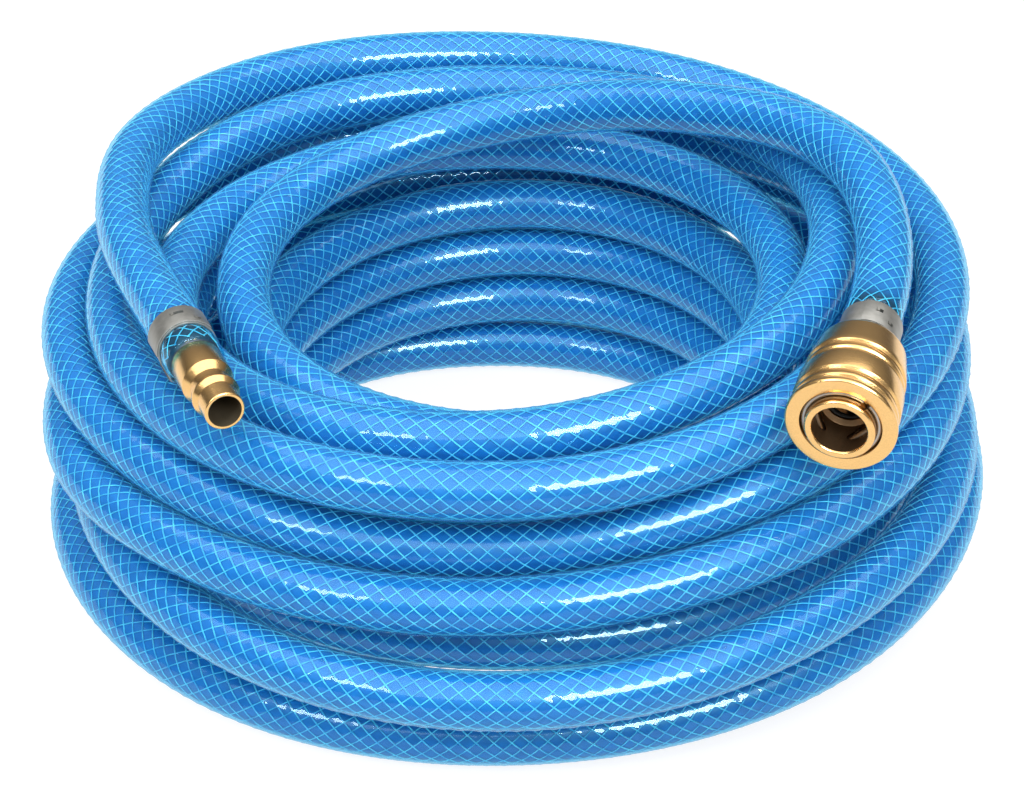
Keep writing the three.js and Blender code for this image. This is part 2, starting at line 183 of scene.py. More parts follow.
def at_distances(points, along, wanted):
    return np.stack([np.interp(wanted, along, points[:, k]) for k in range(3)], -1)


def unit(v):
    return v / np.linalg.norm(v, axis=-1, keepdims=True)


BRAID_YARNS = 11  # in each direction
BRAID_CELL_WANTED = 0.0044  # along the hose, from one crossing to the next
ROUTE = hose_route()
ROUTE_ALONG = distances_along(ROUTE)
HOSE_LENGTH = float(ROUTE_ALONG[-1])
CELLS = round(HOSE_LENGTH / BRAID_CELL_WANTED)
BRAID_CELL = HOSE_LENGTH / CELLS
STEPS_PER_CELL = 4
STATION_ALONG = np.linspace(0, HOSE_LENGTH, CELLS * STEPS_PER_CELL + 1)
CENTRES = at_distances(ROUTE, ROUTE_ALONG, STATION_ALONG)


def untwisted_frame(centres):
    """Two directions across the hose at each centre, carried along it without twisting."""
    forward = unit(np.gradient(centres, axis=0))
    across = np.empty_like(forward)
    side = np.cross(forward[0], [0, 0, 1])
    for i, direction in enumerate(forward):
        side = side - direction * (side @ direction)
        side = side / math.sqrt(side @ side)
        across[i] = side
    return across, np.cross(forward, across)


ACROSS, OVER = untwisted_frame(CENTRES)


def on_hose(along, angle, radius):
    """Points at these distances along the hose, angles round it and distances from its middle."""
    centre = at_distances(CENTRES, STATION_ALONG, along)
    across = unit(at_distances(ACROSS, STATION_ALONG, along))
    over = unit(at_distances(OVER, STATION_ALONG, along))
    shape = np.broadcast(along, angle, radius).shape
    cos = np.broadcast_to(np.cos(angle), shape)[..., None]
    sin = np.broadcast_to(np.sin(angle), shape)[..., None]
    return centre + (across * cos + over * sin) * np.broadcast_to(radius, shape)[..., None]


# ---- mesh helpers ----
def circle_angles(count):
    return 2 * math.pi * np.arange(count) / count


def make_object(name, points, faces, material, smooth=True):
    mesh = bpy.data.meshes.new(name)
    mesh.from_pydata(points.reshape(-1, 3), [], faces)
    mesh.polygons.foreach_set("use_smooth", [smooth] * len(mesh.polygons))
    mesh.materials.append(material)
    mesh.update()
    piece = bpy.data.objects.new(name, mesh)
    bpy.context.scene.collection.objects.link(piece)
    return piece


def grid_faces(rows, columns, close_rows=False, start=0):
    """Quads of a grid of points, closed round its columns, and along its rows if asked."""
    row = np.arange(rows if close_rows else rows - 1)
    r, c = np.meshgrid(row, np.arange(columns), indexing="ij")
    r2, c2 = (r + 1) % rows, (c + 1) % columns
    quads = np.stack([r * columns + c, r * columns + c2, r2 * columns + c2, r2 * columns + c], -1)
    return quads.reshape(-1, 4) + start


def finish_piece(piece, body, slot, *nodes):
    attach(piece, body)
    if nodes:
        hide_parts(*nodes)
    return piece


# ---- materials ----
def new_material(name):
    material = bpy.data.materials.new(name)
    material.use_nodes = True
    nodes = material.node_tree.nodes
    return material, nodes, material.node_tree.links, nodes["Principled BSDF"]


def noise(nodes, links, scale, detail=3, stretch=None):
    texture = nodes.new("ShaderNodeTexNoise")
    texture.inputs["Scale"].default_value = scale
    texture.inputs["Detail"].default_value = detail
    if stretch:
        coordinates = nodes.new("ShaderNodeTexCoord")
        mapping = nodes.new("ShaderNodeMapping")
        mapping.inputs["Scale"].default_value = stretch
        links.new(coordinates.outputs["Object"], mapping.inputs["Vector"])
        links.new(mapping.outputs["Vector"], texture.inputs["Vector"])
    return texture.outputs["Fac"]


def ramp(nodes, links, factor, *stops):
    node = nodes.new("ShaderNodeValToRGB")
    elements = node.color_ramp.elements
    while len(elements) < len(stops):
        elements.new(0.5)
    for element, (position, colour) in zip(elements, stops):
        element.position = position
        element.color = (*colour, 1)
    links.new(factor, node.inputs["Fac"])
    return node.outputs["Color"]


def bump(nodes, links, height, strength, distance):
    node = nodes.new("ShaderNodeBump")
    node.inputs["Strength"].default_value = strength
    node.inputs["Distance"].default_value = distance
    links.new(height, node.inputs["Height"])
    return node.outputs["Normal"]


def marked(nodes, attribute):
    """How strongly each point is marked with the attribute."""
    node = nodes.new("ShaderNodeAttribute")
    node.attribute_name = attribute
    return node.outputs["Fac"]


def between(nodes, links, share, low, high):
    """A value from low to high as the share goes from 0 to 1."""
    node = nodes.new("ShaderNodeMapRange")
    node.inputs["To Min"].default_value = low
    node.inputs["To Max"].default_value = high
    links.new(share, node.inputs["Value"])
    return node.outputs["Result"]


def calculate(nodes, links, operation, *values):
    """Arithmetic on numbers and other nodes' outputs."""
    node = nodes.new("ShaderNodeMath")
    node.operation = operation
    for socket, value in zip(node.inputs, values):
        if isinstance(value, (int, float)):
            socket.default_value = value
        else:
            links.new(value, socket)
    return node.outputs["Value"]


def mixed(nodes, links, share, first, second):
    """The first shader, with this share of it given to the second."""
    node = nodes.new("ShaderNodeMixShader")
    for socket, value in zip(node.inputs, (share, first, second)):
        links.new(value, socket)
    return node.outputs["Shader"]


def clear_cover():
    """Clear blue PVC: tinted light passes, and its surface mirrors by angle with a milky edge."""
    material, nodes, links, base = new_material("clear_blue_pvc")
    through = nodes.new("ShaderNodeBsdfTransparent")
    through.inputs["Color"].default_value = (0.50, 0.90, 1.0, 1)
    base.inputs["Base Color"].default_value = (0.10, 0.36, 0.68, 1)
    base.inputs["Roughness"].default_value = 0.35
    base.inputs["Specular IOR Level"].default_value = 0.0
    gloss = nodes.new("ShaderNodeBsdfGlossy")
    gloss.inputs["Roughness"].default_value = 0.045
    gloss.inputs["Color"].default_value = (0.66, 0.88, 1.0, 1)
    facing = nodes.new("ShaderNodeLayerWeight")
    facing.inputs["Blend"].default_value = 0.35
    towards_edge = calculate(nodes, links, "POWER", facing.outputs["Facing"], 2)
    milky = between(nodes, links, towards_edge, 0.04, 0.65)
    # painted shade over the barbs: less of the milky edge there, as on the liner
    lost_on_barb = 0.75
    cloudiness = calculate(nodes, links, "MULTIPLY_ADD", marked(nodes, "on_barb"), -lost_on_barb, 1)
    share = calculate(nodes, links, "MULTIPLY", milky, cloudiness)
    body = mixed(nodes, links, share, through.outputs["BSDF"], base.outputs["BSDF"])
    fresnel = nodes.new("ShaderNodeFresnel")
    fresnel.inputs["IOR"].default_value = 1.44
    # the quilting keeps a real edge from mirroring like glass
    most_mirrored = 0.3
    mirrored = calculate(nodes, links, "MINIMUM", fresnel.outputs["Fac"], most_mirrored)
    surface = mixed(nodes, links, mirrored, body, gloss.outputs["BSDF"])
    links.new(surface, nodes["Material Output"].inputs["Surface"])
    return material


def liner():
    """Cloudy blue PVC, with painted shade over the barbs, where the metal inside keeps light from coming
    through.
    """
    material, nodes, links, base = new_material("blue_liner")
    cloud = noise(nodes, links, 60)
    colour = ramp(nodes, links, cloud, (0.3, (0.004, 0.14, 0.42)), (0.7, (0.007, 0.195, 0.52)))
    # painted shade: near black-blue over the barbs
    darker = nodes.new("ShaderNodeMix")
    darker.data_type = "RGBA"
    links.new(marked(nodes, "on_barb"), darker.inputs["Factor"])
    links.new(colour, darker.inputs["A"])
    darker.inputs["B"].default_value = (0.004, 0.022, 0.05, 1)
    links.new(darker.outputs["Result"], base.inputs["Base Color"])
    base.inputs["Roughness"].default_value = 0.4
    base.inputs["Subsurface Weight"].default_value = 0.25
    base.inputs["Subsurface Radius"].default_value = (0.2, 0.6, 1.0)
    base.inputs["Subsurface Scale"].default_value = 0.004
    return material


def yarn():
    """Shiny blue yarn in paler and deeper patches, with a faint painted glow standing in for light carried
    inside the clear cover.
    """
    material, nodes, links, base = new_material("woven_yarn")
    patchy = noise(nodes, links, 55)
    colour = ramp(nodes, links, patchy, (0.33, (0.03, 0.36, 0.66)), (0.66, (0.34, 0.86, 0.95)))
    links.new(colour, base.inputs["Base Color"])
    base.inputs["Roughness"].default_value = 0.3
    base.inputs["Specular IOR Level"].default_value = 0.9
    base.inputs["Sheen Weight"].default_value = 0.3
    # painted light: the yarn glows faintly, though it is no lamp
    base.inputs["Emission Color"].default_value = (0.04, 0.5, 0.8, 1)
    base.inputs["Emission Strength"].default_value = 0.12
    return material


def brass(name, light, dark, roughness):
    """Turned brass: fine lines round the axis, and small patches of another tone or polish."""
    material, nodes, links, base = new_material(name)
    tone = noise(nodes, links, 120)
    links.new(ramp(nodes, links, tone, (0.25, dark), (0.75, light)), base.inputs["Base Color"])
    base.inputs["Metallic"].default_value = 1
    wear = noise(nodes, links, 700, detail=5)
    uneven = between(nodes, links, wear, roughness * 0.8, roughness * 1.25)
    links.new(uneven, base.inputs["Roughness"])
    lines = nodes.new("ShaderNodeTexNoise")
    lines.noise_dimensions = "1D"
    lines.inputs["Scale"].default_value = 9
    links.new(marked(nodes, "turning"), lines.inputs["W"])
    links.new(bump(nodes, links, lines.outputs["Fac"], 0.25, 0.00004), base.inputs["Normal"])
    return material


def steel(name, light, dark, roughness):
    material, nodes, links, base = new_material(name)
    brushed = noise(nodes, links, 500, stretch=(1, 1, 0.15))
    links.new(ramp(nodes, links, brushed, (0.3, dark), (0.7, light)), base.inputs["Base Color"])
    base.inputs["Metallic"].default_value = 1
    base.inputs["Roughness"].default_value = roughness
    links.new(bump(nodes, links, brushed, 0.15, 0.00003), base.inputs["Normal"])
    return material


def rubber():
    material, nodes, links, base = new_material("black_rubber")
    grain = noise(nodes, links, 1500)
    links.new(ramp(nodes, links, grain, (0.3, (0.008,) * 3), (0.7, (0.02,) * 3)), base.inputs["Base Color"])
    base.inputs["Roughness"].default_value = 0.5
    links.new(bump(nodes, links, grain, 0.1, 0.00003), base.inputs["Normal"])
    return material


COVER = clear_cover()
LINER = liner()
YARN = yarn()
BRASS = brass("polished_brass", (0.83, 0.53, 0.22), (0.71, 0.43, 0.165), 0.22)
# darker, duller copies of the brass, as painted shade: inside the socket and the valve, in the groove floors
# and in the plug's bore
INNER_BRASS_PAINTED_SHADE = brass("inner_brass_painted_shade", (0.27, 0.17, 0.09), (0.17, 0.11, 0.06), 0.4)
GROOVE_BRASS_PAINTED_SHADE = brass("groove_brass_painted_shade", (0.38, 0.23, 0.09), (0.27, 0.16, 0.06), 0.35)
BORE_BRASS_PAINTED_SHADE = brass("bore_brass_painted_shade", (0.24, 0.20, 0.14), (0.16, 0.135, 0.09), 0.5)
CLAMP_STEEL = steel("clamp_steel", (0.36, 0.355, 0.33), (0.29, 0.285, 0.265), 0.5)
WIRE_STEEL = steel("wire_steel", (0.42, 0.40, 0.37), (0.33, 0.31, 0.29), 0.38)
# painted shade: the pins are dark, as they sit in the socket's shade
PIN_STEEL_PAINTED_SHADE = steel("pin_steel_painted_shade", (0.17, 0.12, 0.08), (0.11, 0.08, 0.05), 0.3)
RUBBER = rubber()

# ---- the hose ----
QUILT_DEPTH = 0.00013
BRAID_RADIUS = 0.00675
LINER_RADIUS = 0.0066
BARB_GRIP_RADIUS = 0.0049
HOSE_BORE_RADIUS = 0.0045
# Distances from each end of the hose.
BARB_SEEN_TO, BARB_FADE = 0.017, 0.0006
LINER_WIDE_TO, LINER_FADE = 0.022, 0.001
CLAMP_BITE, BITE_FADE = 0.0006, 0.00035
BULGE, BULGE_AWAY, BULGE_WIDTH = 0.00018, 0.0026, 0.0016
SHARE_PRESSED_INSIDE = 0.5  # of what the cover is pressed in


def fading(distance, softness):
    """From 1 well before the place at distance 0, to 0 well past it."""
    return 1 / (1 + np.exp(np.clip(distance / softness, -30, 30)))


def from_nearest_end(along):
    return np.minimum(along, HOSE_LENGTH - along)


def squeeze(along):
    """How far the clamps press the hose in, with the bulges beside them."""
    pressed = np.zeros_like(along)
    places = (
        COUPLER_CLAMP_START - COUPLER_HOSE_START,
        HOSE_LENGTH - (PLUG_CLAMP_START - PLUG_HOSE_START) - CLAMP_WIDTH,
    )
    for start in places:
        middle = start + CLAMP_WIDTH / 2
        past_clamp = np.abs(along - middle) - CLAMP_WIDTH / 2
        pressed += CLAMP_BITE * fading(past_clamp, BITE_FADE)
        pressed -= BULGE * np.exp(-((past_clamp - BULGE_AWAY) / BULGE_WIDTH) ** 2)
    return pressed


def rounded_ends(along):
    """How far the corners of the two ends fall away."""
    corner = 0.0004
    inside = np.clip(from_nearest_end(along) / corner, 0, 1)
    return corner * (1 - np.sqrt(1 - (1 - inside) ** 2))


def mark_barbs(piece, along, around):
    """How much of each ring is over a barb, for the materials, which paint shade there."""
    on_barb = fading(from_nearest_end(along) - BARB_SEEN_TO, BARB_FADE)
    attribute = piece.data.attributes.new("on_barb", "FLOAT", "POINT")
    attribute.data.foreach_set("value", np.repeat(on_barb, around).astype(np.float32))


LIP_GAP = 0.0001  # between the liner and the lip of the cover's end


def make_cover():
    """The clear outer layer, quilted where the yarns cross under it."""
    around = BRAID_YARNS * 4
    angle = circle_angles(around)
    # closer rings at the very ends, for their rounded corners
    extra = np.array([0.00002, 0.00012, 0.0003])
    along = np.unique(np.r_[STATION_ALONG, extra, HOSE_LENGTH - extra])
    quilt = np.cos(BRAID_YARNS * angle)[None] * np.cos(2 * math.pi * along / BRAID_CELL)[:, None]
    base = HOSE_RADIUS - QUILT_DEPTH - squeeze(along) - rounded_ends(along)
    radius = base[:, None] + QUILT_DEPTH * quilt
    rings = on_hose(along[:, None], angle[None], radius)
    lip_radius = LINER_RADIUS + LIP_GAP
    lips = [on_hose(np.array([[end]]), angle[None], lip_radius) for end in (0, HOSE_LENGTH)]
    points = np.concatenate([lips[0], rings, lips[1]])
    cover = make_object("hose_cover", points, grid_faces(len(points), around), COVER)
    mark_barbs(cover, np.r_[0, along, HOSE_LENGTH], around)
    return finish_piece(
        cover, ROOT, "hose", "hose_coil", "hose_upper_turns", "hose_run_to_plug",
        "hose_cuff_coupler", "hose_cuff_plug",
    )


LINER_SETBACK = 0.00005  # from the cover's ends


def make_liner():
    """The inner layer with the hose's bore, wider where it grips the barbs."""
    around = 28
    angle = circle_angles(around)
    along = np.linspace(LINER_SETBACK, HOSE_LENGTH - LINER_SETBACK, CELLS)
    outside = LINER_RADIUS - squeeze(along) * SHARE_PRESSED_INSIDE
    grip = fading(from_nearest_end(along) - LINER_WIDE_TO, LINER_FADE)
    inside = HOSE_BORE_RADIUS + (BARB_GRIP_RADIUS - HOSE_BORE_RADIUS) * grip
    points = np.concatenate([
        on_hose(along[:, None], angle[None], outside[:, None]),
        on_hose(along[::-1, None], angle[None], inside[::-1, None]),
    ])
    faces = grid_faces(len(points), around, close_rows=True)
    piece = make_object("hose_liner", points, faces, LINER)
    mark_barbs(piece, np.r_[along, along[::-1]], around)
    return finish_piece(piece, ROOT, "hose")


YARN_THICKNESS = 0.0002
YARN_SETBACK = 0.0003  # from the cover's ends
YARN_STEPS_PER_TURN = 20
LAYER_STEP = 0.00012  # between the yarns of the two hands


def make_braid(name, hand, radius, width):
    """All the yarns that wind one way, each a flattened strand of three sides."""
    turn_length = BRAID_YARNS * BRAID_CELL
    along = np.arange(YARN_SETBACK, HOSE_LENGTH - YARN_SETBACK, turn_length / YARN_STEPS_PER_TURN)
    points, faces = [], []
    for i in range(BRAID_YARNS):
        angle = hand * 2 * math.pi * along / turn_length + 2 * math.pi * i / BRAID_YARNS
        middle_radius = radius - squeeze(along) * SHARE_PRESSED_INSIDE
        centre = on_hose(along, angle, middle_radius)
        outward = unit(on_hose(along, angle, middle_radius + MM) - centre)
        forward = unit(np.gradient(centre, axis=0))
        sideways = np.cross(outward, forward)
        rings = np.stack([
            centre + sideways * width / 2,
            centre + outward * YARN_THICKNESS,
            centre - sideways * width / 2,
        ], 1)
        start = sum(len(p) for p in points) * 3
        points.append(rings)
        faces += grid_faces(len(rings), 3, start=start).tolist()
        last = start + 3 * len(rings)
        faces += [[start + 2, start + 1, start], [last - 3, last - 2, last - 1]]
    piece = make_object(name, np.concatenate(points), faces, YARN)
    return finish_piece(piece, ROOT, "hose")


hose_cover = make_cover()
hose_liner = make_liner()
hose_layers = [
    hose_liner,
    make_braid("hose_braid_left", -1, BRAID_RADIUS, 0.32 * MM),
    make_braid("hose_braid_right", 1, BRAID_RADIUS + LAYER_STEP, 0.42 * MM),
]

# ---- fittings ----
# Sizes from here on are in millimetres, and a depth is measured back from the fitting's mouth.
FINE_ROUND = 96
SHARP_FROM = math.radians(40)
CORNER_ROUND = 0.12
MOST_OF_SIDE_ROUNDED = 0.42


def fitting_frame(axis):
    """Across and up directions of a fitting, for an observer in front of its mouth."""
    z = np.array([0, 0, 1.0])
    v = np.cross(z, axis)
    cross = np.array([[0, -v[2], v[1]], [v[2], 0, -v[0]], [-v[1], v[0], 0]])
    turn = np.eye(3) + cross + cross @ cross / (1 + z @ axis)
    return turn[:, 0], turn[:, 1]


COUPLER = (COUPLER_FACE, COUPLER_AXIS, *fitting_frame(COUPLER_AXIS))
PLUG = (PLUG_TIP, PLUG_AXIS, *fitting_frame(PLUG_AXIS))


def on_fitting(fitting, x, y, depth):
    """Points from millimetres across, up and back from the fitting's mouth."""
    origin, axis, across, up = fitting
    x, y, depth = (np.asarray(v, float)[..., None] * MM for v in (x, y, depth))
    return origin + across * x + up * y - axis * depth


def softened(profile, size=CORNER_ROUND):
    """The closed profile with each corner cut to a small round."""
    points = []
    count = len(profile)
    for i, corner in enumerate(profile):
        corner = np.array(corner, float)
        before, after = (np.array(profile[(i + k) % count], float) for k in (-1, 1))
        arms = []
        for other in (before, after):
            length = np.linalg.norm(other - corner)
            arms.append(corner + (other - corner) * min(size / length, MOST_OF_SIDE_ROUNDED))
        for t in (0, 0.5, 1):
            points.append(arms[0] * (1 - t) ** 2 + 2 * corner * t * (1 - t) + arms[1] * t * t)
    return np.array(points)


def signed_area(outline):
    x, y = outline[:, 0], outline[:, 1]
    return 0.5 * float(np.sum(x * np.roll(y, -1) - np.roll(x, -1) * y))


def turned(name, fitting, profile, material, soften=CORNER_ROUND):
    """A solid of revolution of [radius, depth] points, marked for the lines of its turning."""
    outline = softened(profile, soften) if soften else np.array(profile, float)
    if signed_area(outline) > 0:
        outline = outline[::-1]
    angle = circle_angles(FINE_ROUND)
    radius, depth = outline[:, :1], np.broadcast_to(outline[:, 1:], (len(outline), FINE_ROUND))
    points = on_fitting(fitting, radius * np.cos(angle), radius * np.sin(angle), depth)
    faces = grid_faces(len(outline), FINE_ROUND, close_rows=True)
    piece = make_object(name, points, faces, material)
    piece.data.set_sharp_from_angle(angle=SHARP_FROM)
    turning = piece.data.attributes.new("turning", "FLOAT", "POINT")
    turning.data.foreach_set("value", np.repeat(outline.sum(1), FINE_ROUND).astype(np.float32))
    return piece


# Profiles of the turned pieces, as (radius, depth).
SLEEVE_PROFILE = [
    (10.1, 0), (13.4, 0), (13.8, 0.4), (13.8, 1.3), (12.7, 1.7), (12.7, 2.9), (13.4, 3.3), (13.4, 4.5),
    (12.6, 4.9), (12.6, 6.2), (13.4, 6.7), (13.2, 13.2), (12.3, 13.6), (12.3, 14.9), (12.8, 15.3),
    (12.8, 16.3), (12, 16.7), (12, 18), (12.7, 18.4), (12.5, 20), (11.2, 27.6), (10.7, 28.6),
    (9.7, 28.6), (9.7, 7), (8.75, 7), (8.75, 5.8), (10.3, 5.8), (10.3, 2.7), (8.75, 2.7), (8.75, 2.1),
    (10.1, 2.1),
]
PLUG_PROFILE = [
    (4.15, 0), (4.8, 0), (5, 0.25), (5, 6), (6, 7.5), (6, 8.2), (5.1, 8.9), (5.1, 12.4), (6.5, 14.6),
    (6.5, 24.4), (4.4, 24.4), (4.8, 24.9), (4.4, 29), (4.8, 29.3), (4.4, 33.4), (4.8, 33.7), (4.4, 37.8),
    (4.8, 38.1), (4.4, 42.2), (4.8, 42.5), (4.4, 46.7), (3.2, 46.7), (3.2, 14), (4.15, 13),
]
BODY_PROFILE = [
    (7, -2), (8.3, -2), (8.7, -1.6), (8.7, 0.3), (8.3, 0.3), (8.3, 2.1), (8.45, 2.1), (8.45, 6.4),
    (8, 6.8), (8, 21), (9.4, 21), (9.4, 25), (8.4, 25.4), (8.4, 29), (6.6, 29), (6.6, 13), (5.3, 13),
    (5.3, 11.9), (7, 11.9), (7, 9.6), (5.3, 9.6), (5.3, 9), (6.7, 8.4), (6.7, -1.5),
]
POPPET_PROFILE = [
    (0.02, 9.8), (4, 9.8), (4.5, 10.3), (4.5, 14.7), (6.1, 14.7), (6.1, 15.7), (1.2, 15.7), (1.2, 21),
    (0.02, 21),
]
VALVE_SEAL_PROFILE = [
    (4.8, 13.6), (5.3, 13.3), (5.9, 13.3), (6.2, 13.7), (6.2, 14.2), (6, 14.4), (4.8, 14.4),
]
TAIL_PROFILE = [
    (3.2, 25), (6.3, 25), (6.3, 29.3), (8.2, 29.3), (8.2, 30.7), (4.4, 30.7), (4.8, 31.2), (4.4, 35.1),
    (4.8, 35.4), (4.4, 39.3), (4.8, 39.6), (4.4, 43.5), (4.8, 43.8), (4.4, 47.7), (3.2, 47.7),
]


def solid_tube(name, centres, radius, sides, material):
    """A round wire along these points, with flat ends."""
    forward = unit(np.gradient(centres, axis=0))
    helper = unit(np.cross(forward, COUPLER_AXIS))
    other = np.cross(forward, helper)
    angle = circle_angles(sides)[None, :, None]
    around = helper[:, None] * np.cos(angle) + other[:, None] * np.sin(angle)
    points = centres[:, None] + radius * MM * around
    last = (len(centres) - 1) * sides
    ends = [list(range(sides))[::-1], list(range(last, last + sides))]
    piece = make_object(name, points, grid_faces(len(centres), sides).tolist() + ends, material)
    piece.data.set_sharp_from_angle(angle=math.radians(60))
    return piece


def cut_away(piece, cutters):
    """Take the cutters' volumes out of the piece."""
    for cutter in cutters:
        modifier = piece.modifiers.new("cut", "BOOLEAN")
        modifier.operation = "DIFFERENCE"
        modifier.solver = "EXACT"
        modifier.object = cutter
    evaluated = piece.evaluated_get(bpy.context.evaluated_depsgraph_get())
    mesh = bpy.data.meshes.new_from_object(evaluated)
    piece.modifiers.clear()
    piece.data = mesh
    mesh.set_sharp_from_angle(angle=SHARP_FROM)
    return piece


def discard(pieces):
    for piece in pieces:
        bpy.data.objects.remove(piece)


def prism(name, fitting, outline, low, high, angle):
    """A bar across the fitting, at this angle round it: [radius, depth] points, from low to high sideways."""
    outline = np.array(outline, float)
    cos, sin = math.cos(angle), math.sin(angle)
    layers = []
    for side in (low, high):
        x = outline[:, 0] * cos - side * sin
        y = outline[:, 0] * sin + side * cos
        layers.append(on_fitting(fitting, x, y, outline[:, 1]))
    count = len(outline)
    faces = grid_faces(2, count).tolist() + [list(range(count))[::-1], list(range(count, 2 * count))]
    piece = make_object(name, np.stack(layers), faces, CLAMP_STEEL)
    mesh = bmesh.new()
    mesh.from_mesh(piece.data)
    bmesh.ops.recalc_face_normals(mesh, faces=mesh.faces)
    mesh.to_mesh(piece.data)
    mesh.free()
    piece.data.set_sharp_from_angle(angle=SHARP_FROM)
    return piece


def box_outline(radius, depth, height, width):
    """The corners of a rectangle about this radius and depth."""
    return [
        (radius + i * height / 2, depth + j * width / 2) for i, j in ((-1, -1), (1, -1), (1, 1), (-1, 1))
    ]


def stadium(start, end, radius):
    """Two half circles round [radius, depth] places, joined by straight sides."""
    points = 12
    start, end = np.array(start, float), np.array(end, float)
    along = math.atan2(end[1] - start[1], end[0] - start[0])
    turn = np.linspace(QUARTER, 3 * QUARTER, points)
    half = np.stack([np.cos(along + turn), np.sin(along + turn)], -1) * radius
    return np.concatenate([start + half, end - half])


def round_profile(radius, depth, section_radius):
    """The round section of a ring, as a profile."""
    angle = circle_angles(24)
    place = [radius + section_radius * np.cos(angle), depth + section_radius * np.sin(angle)]
    return np.stack(place, -1).tolist()


def paint_shade_on_spans(piece, fitting, material, spans):
    """Painted shade: darker, duller metal on the faces of each span: (first depth, last depth, radius to stay
    within).
    """
    origin, axis = fitting[:2]
    piece.data.materials.append(material)
    for face in piece.data.polygons:
        offset = (np.array(face.center) - origin) / MM
        depth = -offset @ axis
        radius = np.linalg.norm(offset + depth * axis)
        inside = any(first < depth < last and radius < limit for first, last, limit in spans)
        face.material_index = int(inside)


def make_sleeve():
    piece = turned("sleeve_shell", COUPLER, SLEEVE_PROFILE, BRASS)
    grooves = [(1.6, 3, 12.8), (4.8, 6.3, 12.7), (13.5, 15, 12.4), (16.6, 18.1, 12.1)]
    # painted shade in the groove floors
    paint_shade_on_spans(piece, COUPLER, GROOVE_BRASS_PAINTED_SHADE, grooves)
    finish_piece(piece, "sleeve", "brass", "locking_sleeve")


def make_plug():
    piece = turned("plug_turned", PLUG, PLUG_PROFILE, BRASS)
    # painted shade in the bore
    paint_shade_on_spans(piece, PLUG, BORE_BRASS_PAINTED_SHADE, [(0.2, 47, 4.2)])
    return finish_piece(piece, ROOT, "brass", "plug_nipple")


SLEEVE_TRAVEL, VALVE_TRAVEL = 3, 4
SLOT_SLANT = math.radians(22)
PIN_RADIUS, PIN_LENGTH = 1.1, 9.2
PIN_START = np.array([6.75, 4.2])  # radius and depth of a locked pin's middle
PIN_END = PIN_START + SLEEVE_TRAVEL * np.array([math.tan(SLOT_SLANT), 1])
PIN_ANGLES = [math.radians(-60 + 120 * i) for i in range(3)]
SLOT_GAP = 0.3


def make_body():
    """The socket, with its three slanted slots for the locking pins."""
    piece = turned("coupler_turned_body", COUPLER, BODY_PROFILE, BRASS)
    half = PIN_LENGTH / 2 + SLOT_GAP
    slot = stadium(PIN_START, PIN_END, PIN_RADIUS + SLOT_GAP)
    cutters = [prism("slot", COUPLER, slot, -half, half, angle) for angle in PIN_ANGLES]
    # painted shade on the socket's inside
    paint_shade_on_spans(cut_away(piece, cutters), COUPLER, INNER_BRASS_PAINTED_SHADE, [(-1.4, 30, 6.75)])
    discard(cutters)
    finish_piece(piece, ROOT, "brass", "coupler_body")


def make_pins():
    circle = stadium(PIN_START, PIN_START, PIN_RADIUS)
    for i, angle in enumerate(PIN_ANGLES, 1):
        pin = prism(f"locking_roller_{i}", COUPLER, circle, -PIN_LENGTH / 2, PIN_LENGTH / 2, angle)
        # painted shade on the pin
        pin.data.materials[0] = PIN_STEEL_PAINTED_SHADE
        finish_piece(pin, f"pin_{i}", "wire_steel", f"locking_pin_{i}")


def helix(radius, start, end, turns):
    steps_per_turn = 40
    t = np.linspace(0, 1, turns * steps_per_turn)
    angle = 2 * math.pi * turns * t
    return on_fitting(COUPLER, radius * np.cos(angle), radius * np.sin(angle), start + (end - start) * t)


def make_spring(name, node, radius, wire, start, end, turns):
    """A coil spring of round wire, wound between these depths."""
    coils = helix(radius, start + wire, end - wire, turns)
    spring = solid_tube(name, coils, wire, sides=10, material=WIRE_STEEL)
    finish_piece(spring, ROOT, "wire_steel", node)
    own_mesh(spring)


RING_RADIUS, RING_DEPTH, RING_WIRE_RADIUS = 9.15, 1.25, 0.75


def make_snap_ring():
    """A split wire ring, open at its upper right."""
    opening, middle = math.radians(12), math.radians(35)
    angle = np.linspace(middle + opening / 2, middle + 2 * math.pi - opening / 2, 120)
    x, y = RING_RADIUS * np.cos(angle), RING_RADIUS * np.sin(angle)
    centres = on_fitting(COUPLER, x, y, np.full(len(angle), RING_DEPTH))
    ring = solid_tube("snap_ring_wire", centres, RING_WIRE_RADIUS, sides=14, material=WIRE_STEEL)
    finish_piece(ring, ROOT, "wire_steel", "sleeve_retaining_ring")


def make_valve():
    """The poppet with its cross slots, its seal, and the tail that the valve's spring stands on."""
    # painted shade: the poppet is in the darker brass
    poppet = turned("valve_turned_poppet", COUPLER, POPPET_PROFILE, INNER_BRASS_PAINTED_SHADE)
    slot, half = box_outline(radius=0, depth=9.8, height=2.2, width=3), 6
    slots = [prism("slot", COUPLER, slot, -half, half, angle) for angle in (0, QUARTER)]
    finish_piece(cut_away(poppet, slots), "valve", "brass", "valve_poppet")
    discard(slots)
    seal = turned("valve_rubber", COUPLER, VALVE_SEAL_PROFILE, RUBBER, soften=0.08)
    finish_piece(seal, "valve", "seal_rubber", "valve_seal")
    # painted shade: the tail is in the darker brass
    tail = turned("barbed_tail", COUPLER, TAIL_PROFILE, INNER_BRASS_PAINTED_SHADE)
    finish_piece(tail, ROOT, "brass", "coupler_hose_tail")


def make_socket_seal():
    seal = turned("socket_o_ring", COUPLER, round_profile(5.85, 10.75, 0.85), RUBBER, soften=0)
    finish_piece(seal, ROOT, "seal_rubber", "socket_seal")


make_sleeve()
plug = make_plug()
make_body()
make_pins()
make_snap_ring()
make_valve()
make_socket_seal()
make_spring(
    "sleeve_coils", "sleeve_spring",
    radius=8.85, wire=0.4, start=7.3, end=20.7, turns=5,
)
make_spring(
    "valve_coils", "valve_spring",
    radius=3.6, wire=0.35, start=16, end=24.7, turns=4,
)

STRIP_ROUND = 0.16


